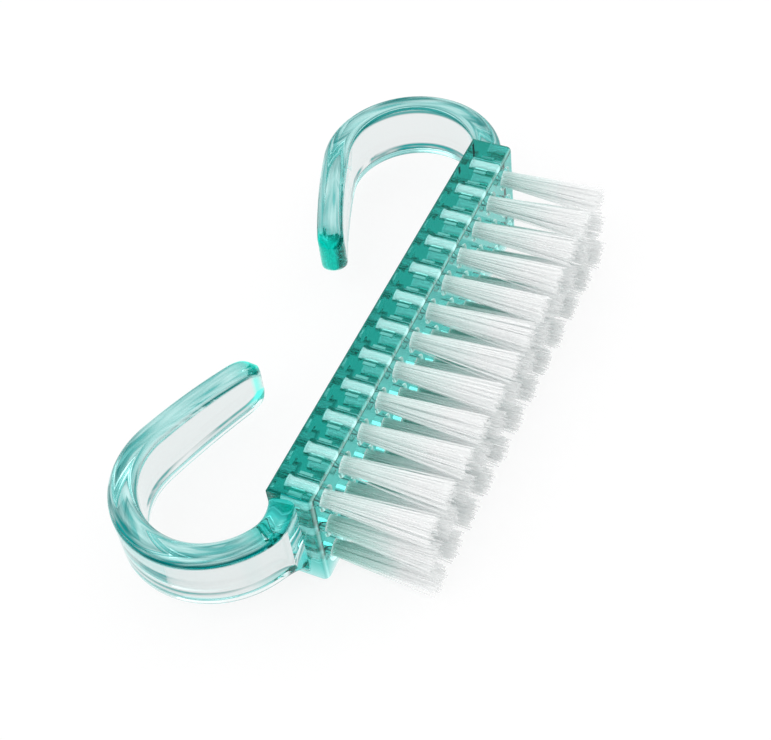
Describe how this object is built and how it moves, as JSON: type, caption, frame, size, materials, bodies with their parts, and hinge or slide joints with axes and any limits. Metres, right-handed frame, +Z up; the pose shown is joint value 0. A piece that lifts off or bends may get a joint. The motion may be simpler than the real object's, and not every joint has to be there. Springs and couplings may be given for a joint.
{
  "type": "nail brush",
  "caption": "Nail brush: clear moulded bar with open finger hooks on its back and rows of stapled bristle tufts on its front.",
  "frame": {"origin": "middle of the bar's lower side face, on which the brush rests", "axes": "+X along the bar, +Y from the bristles to the finger hooks, +Z up across the bar's width"},
  "size_m": [0.0654, 0.0315, 0.0128],
  "materials": {
    "clear_plastic": "clear, polished",
    "filament": "drawn filament",
    "anchor_wire": "drawn flat wire"
  },
  "bodies": {
    "root": {"handle_body": "clear_plastic", "tuft_a01": "filament", "tuft_a02": "filament", "tuft_a03": "filament", "tuft_a04": "filament", "tuft_a05": "filament", "tuft_a06": "filament", "tuft_a07": "filament", "tuft_a08": "filament", "tuft_a09": "filament", "tuft_a10": "filament", "tuft_a11": "filament", "tuft_a12": "filament", "tuft_b01": "filament", "tuft_b02": "filament", "tuft_b03": "filament", "tuft_b04": "filament", "tuft_b05": "filament", "tuft_b06": "filament", "tuft_b07": "filament", "tuft_b08": "filament", "tuft_b09": "filament", "tuft_b10": "filament", "tuft_b11": "filament", "tuft_b12": "filament", "tuft_c01": "filament", "tuft_c02": "filament", "tuft_c03": "filament", "tuft_c04": "filament", "tuft_c05": "filament", "tuft_c06": "filament", "tuft_c07": "filament", "tuft_c08": "filament", "tuft_c09": "filament", "tuft_c10": "filament", "tuft_c11": "filament", "tuft_c12": "filament", "anchors_row_a": "anchor_wire", "anchors_row_b": "anchor_wire", "anchors_row_c": "anchor_wire"}
  },
  "joints": []
}
